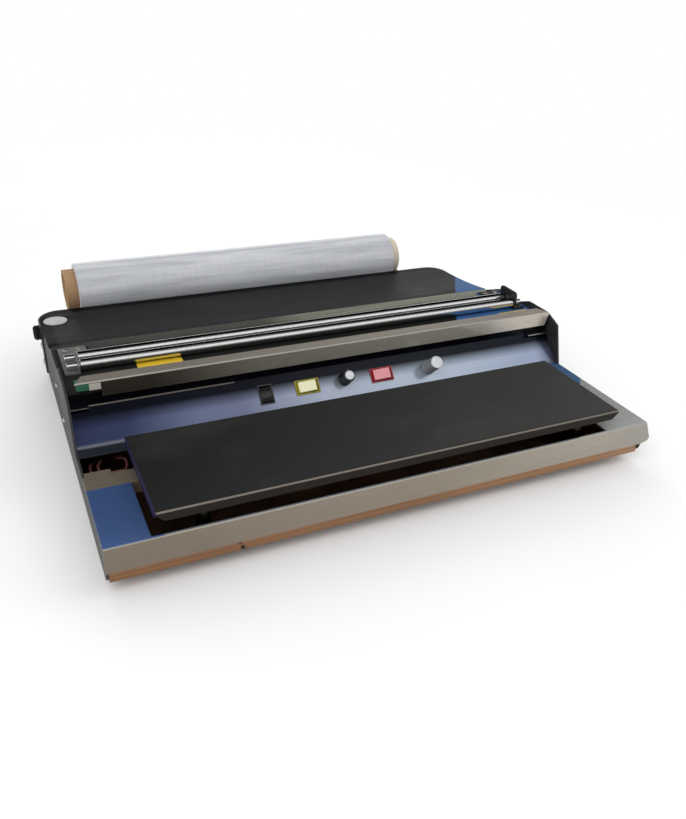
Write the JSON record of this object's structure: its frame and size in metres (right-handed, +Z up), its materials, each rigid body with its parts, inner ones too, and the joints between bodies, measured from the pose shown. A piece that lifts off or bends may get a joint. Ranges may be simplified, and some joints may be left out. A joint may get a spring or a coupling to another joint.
{
  "type": "film wrapping machine",
  "caption": "Counter machine that cuts and seals film from a roll: hot plate, leaning panel, hot cutter bar, chrome rollers and a roll cradle.",
  "frame": {"origin": "centre of the footprint, at the underside of the rubber feet, on the table", "axes": "+X to the operator's right along the film's width, +Y from the hot plate to the film roll, +Z up"},
  "size_m": [0.501, 0.44, 0.105],
  "materials": {
    "base_pan": "satin",
    "pan_rim": "satin",
    "left_cover_corner": "satin",
    "right_cover_corner": "satin",
    "rubber_feet": "matt",
    "foot_screws": "satin",
    "left_side_plate": "satin",
    "right_side_plate": "satin",
    "crease_tabs": "satin",
    "front_platform": "satin",
    "platform_cross_rail": "satin",
    "control_panel": "polished",
    "roller_bed": "satin",
    "deck": "satin",
    "deck_edge_strip": "satin",
    "deck_plug": "satin",
    "rear_cover": "satin",
    "cover_screws": "satin",
    "cable_gland": "matt",
    "hot_plate": "satin non-stick coat",
    "hot_plate_posts": "satin",
    "plate_heater": "matt",
    "plate_insulation": "matt",
    "temperature_sensor": "satin",
    "cutter_bar": "satin",
    "cutter_terminal": "gloss",
    "cutter_insulators": "matt",
    "cutter_heater": "matt",
    "left_roller_ear": "satin",
    "right_roller_ear": "satin",
    "ear_screws": "satin",
    "front_roller": "polished",
    "rear_roller": "polished",
    "film_core": "matt",
    "film_wrap": "clear wound film",
    "left_cradle_bracket": "satin",
    "right_cradle_bracket": "satin",
    "front_cradle_roller": "satin",
    "rear_cradle_roller": "satin",
    "cradle_screws": "satin",
    "main_switch_housing": "gloss",
    "main_switch_rocker": "gloss",
    "plate_switch_housing": "gloss",
    "plate_switch_rocker": "gloss",
    "cutter_switch_housing": "gloss",
    "cutter_switch_rocker": "gloss",
    "plate_thermostat": "matt",
    "plate_knob": "gloss",
    "plate_knob_cap": "satin",
    "cutter_regulator": "matt",
    "cutter_knob": "satin",
    "cutter_knob_cap": "satin",
    "transformer_core": "matt",
    "transformer_winding": "satin",
    "terminal_block": "matt"
  },
  "bodies": {
    "machine_body": {"base_pan": "base_pan", "pan_rim": "pan_rim", "left_cover_corner": "left_cover_corner", "right_cover_corner": "right_cover_corner", "rubber_feet": "rubber_feet", "foot_screws": "foot_screws", "left_side_plate": "left_side_plate", "right_side_plate": "right_side_plate", "crease_tabs": "crease_tabs", "front_platform": "front_platform", "platform_cross_rail": "platform_cross_rail", "control_panel": "control_panel", "roller_bed": "roller_bed", "deck": "deck", "deck_edge_strip": "deck_edge_strip", "deck_plug": "deck_plug", "rear_cover": "rear_cover", "cover_screws": "cover_screws", "cable_gland": "cable_gland", "hot_plate": "hot_plate", "hot_plate_posts": "hot_plate_posts", "plate_heater": "plate_heater", "plate_insulation": "plate_insulation", "temperature_sensor": "temperature_sensor", "cutter_bar": "cutter_bar", "cutter_terminal": "cutter_terminal", "cutter_insulators": "cutter_insulators", "cutter_heater": "cutter_heater", "left_roller_ear": "left_roller_ear", "right_roller_ear": "right_roller_ear", "ear_screws": "ear_screws", "left_cradle_bracket": "left_cradle_bracket", "right_cradle_bracket": "right_cradle_bracket", "cradle_screws": "cradle_screws", "main_switch_housing": "main_switch_housing", "plate_switch_housing": "plate_switch_housing", "cutter_switch_housing": "cutter_switch_housing", "plate_thermostat": "plate_thermostat", "cutter_regulator": "cutter_regulator", "transformer_core": "transformer_core", "transformer_winding": "transformer_winding", "terminal_block": "terminal_block"},
    "front_roller": {"front_roller": "front_roller"},
    "rear_roller": {"rear_roller": "rear_roller"},
    "film_roll": {"film_core": "film_core", "film_wrap": "film_wrap"},
    "front_cradle_roller": {"front_cradle_roller": "front_cradle_roller"},
    "rear_cradle_roller": {"rear_cradle_roller": "rear_cradle_roller"},
    "main_rocker": {"main_switch_rocker": "main_switch_rocker"},
    "plate_rocker": {"plate_switch_rocker": "plate_switch_rocker"},
    "cutter_rocker": {"cutter_switch_rocker": "cutter_switch_rocker"},
    "plate_dial": {"plate_knob": "plate_knob", "plate_knob_cap": "plate_knob_cap"},
    "cutter_dial": {"cutter_knob": "cutter_knob", "cutter_knob_cap": "cutter_knob_cap"}
  },
  "joints": [
    {"name": "front_roller_spin", "type": "hinge", "parent": "machine_body", "child": "front_roller", "pos_m": [0, -0.02468, 0.08983], "axis": [1, 0, 0], "continuous": true},
    {"name": "rear_roller_spin", "type": "hinge", "parent": "machine_body", "child": "rear_roller", "pos_m": [0, -0.00868, 0.08983], "axis": [1, 0, 0], "continuous": true},
    {"name": "film_roll_spin", "type": "hinge", "parent": "machine_body", "child": "film_roll", "pos_m": [-0.01, 0.19, 0.07699], "axis": [1, 0, 0], "continuous": true},
    {"name": "front_cradle_spin", "type": "hinge", "parent": "machine_body", "child": "front_cradle_roller", "pos_m": [0, 0.173, 0.0472], "axis": [1, 0, 0], "continuous": true},
    {"name": "rear_cradle_spin", "type": "hinge", "parent": "machine_body", "child": "rear_cradle_roller", "pos_m": [0, 0.207, 0.0472], "axis": [1, 0, 0], "continuous": true},
    {"name": "main_rocker_tilt", "type": "hinge", "parent": "machine_body", "child": "main_rocker", "pos_m": [-0.074, -0.074, 0.05751], "axis": [-1, 0, 0], "range_deg": [0, 14]},
    {"name": "plate_rocker_tilt", "type": "hinge", "parent": "machine_body", "child": "plate_rocker", "pos_m": [-0.034, -0.07367, 0.05788], "axis": [0, 0.6691, 0.7431], "range_deg": [0, 14]},
    {"name": "cutter_rocker_tilt", "type": "hinge", "parent": "machine_body", "child": "cutter_rocker", "pos_m": [0.042, -0.074, 0.05751], "axis": [0, 0.6691, 0.7431], "range_deg": [0, 14]},
    {"name": "plate_dial_turn", "type": "hinge", "parent": "machine_body", "child": "plate_dial", "pos_m": [0.0035, -0.07478, 0.06023], "axis": [0, 0.7431, -0.6691], "range_deg": [0, 270]},
    {"name": "cutter_dial_turn", "type": "hinge", "parent": "machine_body", "child": "cutter_dial", "pos_m": [0.0925, -0.07679, 0.05801], "axis": [0, 0.7431, -0.6691], "range_deg": [0, 280]}
  ],
  "couplings": [
    {"joint": "front_cradle_spin", "follows": "film_roll_spin", "ratio": -4.6667},
    {"joint": "rear_cradle_spin", "follows": "film_roll_spin", "ratio": -4.6667}
  ]
}
